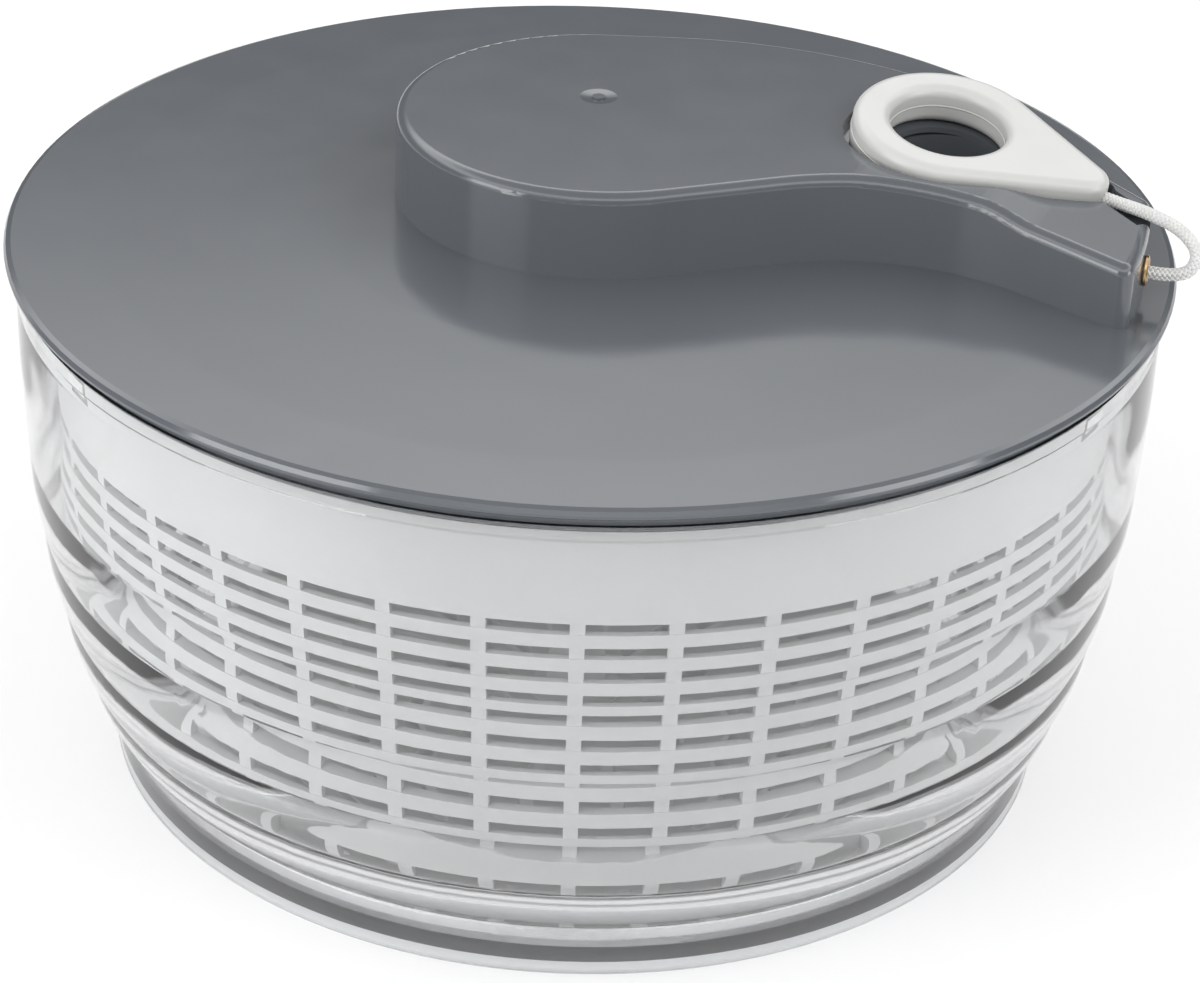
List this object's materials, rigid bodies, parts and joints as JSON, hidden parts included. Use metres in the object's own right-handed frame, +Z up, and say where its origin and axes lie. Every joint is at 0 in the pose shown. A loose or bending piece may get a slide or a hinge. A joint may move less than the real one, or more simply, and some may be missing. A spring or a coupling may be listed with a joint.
{
  "type": "salad spinner",
  "caption": "Pull-cord salad spinner: ribbed clear bowl, slotted basket that spins on a centre pivot, and a grey lid whose raised housing holds a cord reel with a nested teardrop pull handle.",
  "frame": {"origin": "centre of the bowl's base, on the surface it stands on", "axes": "+Z up along the spin axis, +X towards the end of the lid housing where the cord comes out, -Y towards the front"},
  "size_m": [0.2619, 0.26, 0.1551],
  "materials": {
    "clear_bowl": "gloss clear plastic",
    "basket_white": "satin, slightly translucent",
    "lid_grey": "gloss",
    "cover_white": "satin",
    "mechanism_plastic": "matt",
    "ratchet_plastic": "matt",
    "handle_white": "satin",
    "cord_white": "braided",
    "eyelet_brass": "polished",
    "steel": "bright",
    "spring_steel": "blued"
  },
  "bodies": {
    "bowl": {"bowl": "clear_bowl"},
    "lid": {"lid_shell": "lid_grey", "mechanism_cover": "cover_white", "cover_screws": "steel", "cord_eyelet": "eyelet_brass", "spindle": "steel", "retainer_washer": "steel", "retainer_screw": "steel", "pull_cord_inner": "cord_white", "pull_cord_outer": "cord_white"},
    "driver": {"driver_disc": "cover_white"},
    "basket": {"basket": "basket_white"},
    "reel": {"cord_reel": "mechanism_plastic", "reel_cap": "mechanism_plastic", "cord_winding": "cord_white", "recoil_spring": "spring_steel", "pawl_carrier": "ratchet_plastic", "pawl_pins": "steel"},
    "pawl_1": {"pawl_1": "ratchet_plastic"},
    "pawl_2": {"pawl_2": "ratchet_plastic"},
    "pawl_3": {"pawl_3": "ratchet_plastic"},
    "handle": {"handle_top": "handle_white", "handle_bottom": "handle_white", "handle_screws": "steel", "cord_knot": "cord_white"}
  },
  "joints": [
    {"name": "lid_lift", "type": "slide", "parent": "bowl", "child": "lid", "axis": [0, 0, 1], "range_m": [0, 0.33]},
    {"name": "driver_spin", "type": "hinge", "parent": "lid", "child": "driver", "pos_m": [0, 0, 0.114], "axis": [0, 0, -1], "continuous": true},
    {"name": "basket_lift", "type": "slide", "parent": "driver", "child": "basket", "axis": [0, 0, -1], "range_m": [0, 0.165]},
    {"name": "handle_pull", "type": "slide", "parent": "lid", "child": "handle", "axis": [0.2753, -0.1403, 0.9511], "range_m": [0, 0.44925], "deforming": ["pull_cord_outer"]},
    {"name": "reel_spin", "type": "hinge", "parent": "lid", "child": "reel", "pos_m": [0, 0, 0.137], "axis": [0, 0, -1], "range_deg": [0, 1170.02], "deforming": ["recoil_spring"]},
    {"name": "pawl_1_swing", "type": "hinge", "parent": "reel", "child": "pawl_1", "pos_m": [0.012, 0, 0.1194], "axis": [0, 0, 1], "range_deg": [0, 27]},
    {"name": "pawl_2_swing", "type": "hinge", "parent": "reel", "child": "pawl_2", "pos_m": [-0.006, 0.01039, 0.1194], "axis": [0, 0, 1], "range_deg": [0, 27.01]},
    {"name": "pawl_3_swing", "type": "hinge", "parent": "reel", "child": "pawl_3", "pos_m": [-0.006, -0.01039, 0.1194], "axis": [0, 0, 1], "range_deg": [0, 27.01]}
  ],
  "couplings": [
    {"joint": "basket_lift", "follows": "lid_lift", "ratio": 0.5},
    {"joint": "reel_spin", "follows": "handle_pull", "rad_per_m": 45.455},
    {"joint": "pawl_2_swing", "follows": "pawl_1_swing", "ratio": 1},
    {"joint": "pawl_3_swing", "follows": "pawl_1_swing", "ratio": 1}
  ]
}
